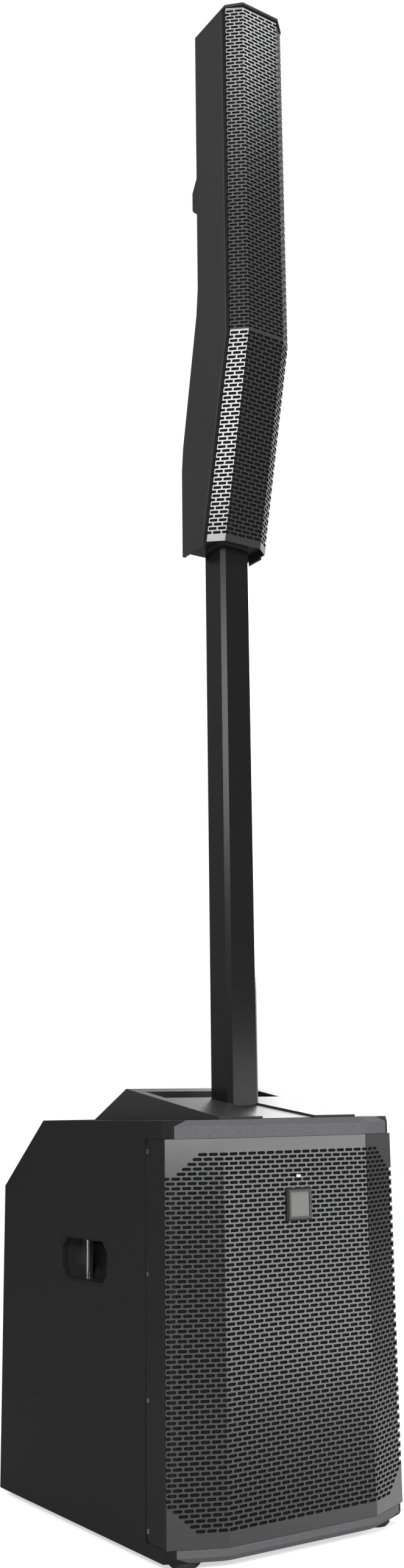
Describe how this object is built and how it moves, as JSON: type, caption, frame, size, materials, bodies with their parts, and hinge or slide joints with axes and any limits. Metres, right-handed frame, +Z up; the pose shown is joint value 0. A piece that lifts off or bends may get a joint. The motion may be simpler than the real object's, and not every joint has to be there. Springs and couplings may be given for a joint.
{
  "type": "column pa system",
  "caption": "Column loudspeaker: a bass cabinet with a folded slotted grille, a square pole and a slim line array that lift apart",
  "frame": {"origin": "on the floor, in the middle of the whole outline", "axes": "+Z up, the front faces -Y, +X to the right of a listener who faces the front"},
  "size_m": [0.332, 0.4508, 2.0187],
  "materials": {
    "cabinet_paint": "black textured paint on plywood",
    "grille_paint": "satin black powder coat",
    "acoustic_foam": "open foam",
    "moulded_black": "fine texture",
    "cap_plastic": "satin",
    "black_rubber": "matt",
    "baffle_board": "black stained board",
    "plain_board": "bare plywood",
    "port_plastic": "matt",
    "driver_steel": "black coat",
    "magnet_iron": "dark ferrite",
    "cone_paper": "pressed paper",
    "roll_rubber": "matt",
    "pole_metal": "black satin coat",
    "contact_brass": "plated",
    "panel_paint": "satin black",
    "panel_glass": "smoked",
    "knob_plastic": "soft touch",
    "socket_plastic": "satin",
    "folded_steel": "zinc coated",
    "board_green": "varnished",
    "sink_metal": "bare",
    "badge_metal": "bright bevelled rim, dark field",
    "lamp_lens": "clear, faint glow",
    "cable_sheath": "matt"
  },
  "bodies": {
    "base": {"cabinet_shell": "cabinet_paint", "handle_cup_left": "moulded_black", "handle_cup_right": "moulded_black", "rubber_feet": "black_rubber", "bass_grille": "grille_paint", "bass_grille_foam": "acoustic_foam", "badge_plate": "badge_metal", "status_lamp": "lamp_lens", "front_baffle": "baffle_board", "port_tubes": "port_plastic", "cabinet_brace": "plain_board", "woofer_basket": "driver_steel", "woofer_magnet": "magnet_iron", "woofer_pole_piece": "folded_steel", "woofer_surround": "roll_rubber", "woofer_spider": "acoustic_foam", "top_cap": "cap_plastic", "pole_socket": "moulded_black", "socket_contacts": "contact_brass", "control_panel": "panel_paint", "display_window": "panel_glass", "control_bodies": "folded_steel", "connection_plate": "panel_paint", "input_sockets": "socket_plastic", "link_socket": "socket_plastic", "mains_inlet": "socket_plastic", "switch_frame": "socket_plastic", "amplifier_chassis": "folded_steel", "circuit_board": "board_green", "heat_sink": "sink_metal"},
    "pole": {"pole_tube": "pole_metal", "pole_foot_plug": "socket_plastic", "pole_head_plug": "socket_plastic", "pole_cable": "cable_sheath"},
    "array": {"array_housing": "moulded_black", "array_grille": "grille_paint", "array_grille_foam": "acoustic_foam", "array_baffle_upper": "port_plastic", "array_baffle_lower": "port_plastic", "array_driver_frames": "driver_steel", "array_driver_magnets": "magnet_iron", "array_surrounds_upper": "roll_rubber", "array_surrounds_lower": "roll_rubber", "array_bottom_plate": "cap_plastic", "pole_spigot": "cap_plastic", "rear_boss": "moulded_black", "array_contacts": "contact_brass"},
    "woofer_cone": {"woofer_cone": "cone_paper"},
    "array_upper_cones": {"array_cones_upper": "cone_paper"},
    "array_lower_cones": {"array_cones_lower": "cone_paper"},
    "knob_1": {"level_knob_1": "knob_plastic"},
    "knob_2": {"level_knob_2": "knob_plastic"},
    "knob_3": {"level_knob_3": "knob_plastic"},
    "knob_4": {"level_knob_4": "knob_plastic"},
    "menu_shaft": {"menu_shaft": "folded_steel"},
    "menu_wheel": {"menu_wheel": "knob_plastic"},
    "rocker": {"power_rocker": "knob_plastic"}
  },
  "joints": [
    {"name": "pole_lift", "type": "slide", "parent": "base", "child": "pole", "axis": [0, 0, 1], "range_m": [0, 0.135]},
    {"name": "array_lift", "type": "slide", "parent": "pole", "child": "array", "axis": [0, 0, 1], "range_m": [0, 0.085]},
    {"name": "woofer_travel", "type": "slide", "parent": "base", "child": "woofer_cone", "axis": [0, -1, 0], "range_m": [-0.008, 0.008], "stiffness_N_per_m": 4000, "deforming": ["woofer_surround", "woofer_spider"]},
    {"name": "array_upper_travel", "type": "slide", "parent": "array", "child": "array_upper_cones", "axis": [0, -1, 0], "range_m": [-0.0025, 0.0025], "stiffness_N_per_m": 4000, "deforming": ["array_surrounds_upper"]},
    {"name": "array_lower_travel", "type": "slide", "parent": "array", "child": "array_lower_cones", "axis": [0, -0.9748, -0.223], "range_m": [-0.0025, 0.0025], "stiffness_N_per_m": 4000, "deforming": ["array_surrounds_lower"]},
    {"name": "level_knob_1_turn", "type": "hinge", "parent": "base", "child": "knob_1", "pos_m": [0.0816, 0.14016, 0.45561], "axis": [0, 0.6113, 0.7914], "range_deg": [-150, 150]},
    {"name": "level_knob_2_turn", "type": "hinge", "parent": "base", "child": "knob_2", "pos_m": [0.0476, 0.14016, 0.45561], "axis": [0, 0.6113, 0.7914], "range_deg": [-150, 150]},
    {"name": "level_knob_3_turn", "type": "hinge", "parent": "base", "child": "knob_3", "pos_m": [0.0136, 0.14016, 0.45561], "axis": [0, 0.6113, 0.7914], "range_deg": [-150, 150]},
    {"name": "level_knob_4_turn", "type": "hinge", "parent": "base", "child": "knob_4", "pos_m": [-0.0204, 0.14016, 0.45561], "axis": [0, 0.6113, 0.7914], "range_deg": [-150, 150]},
    {"name": "menu_push", "type": "slide", "parent": "base", "child": "menu_shaft", "axis": [0, -0.6113, -0.7914], "range_m": [0, 0.001], "stiffness_N_per_m": 2000, "springref_m": -0.001},
    {"name": "menu_turn", "type": "hinge", "parent": "menu_shaft", "child": "menu_wheel", "pos_m": [-0.066, 0.17656, 0.42749], "axis": [0, 0.6113, 0.7914], "continuous": true},
    {"name": "power_rocker_tilt", "type": "hinge", "parent": "base", "child": "rocker", "pos_m": [0.026, 0.21715, 0.284], "axis": [1, 0, 0], "range_deg": [-16, 0]}
  ],
  "couplings": [
    {"joint": "array_lower_travel", "follows": "array_upper_travel", "ratio": 1}
  ]
}
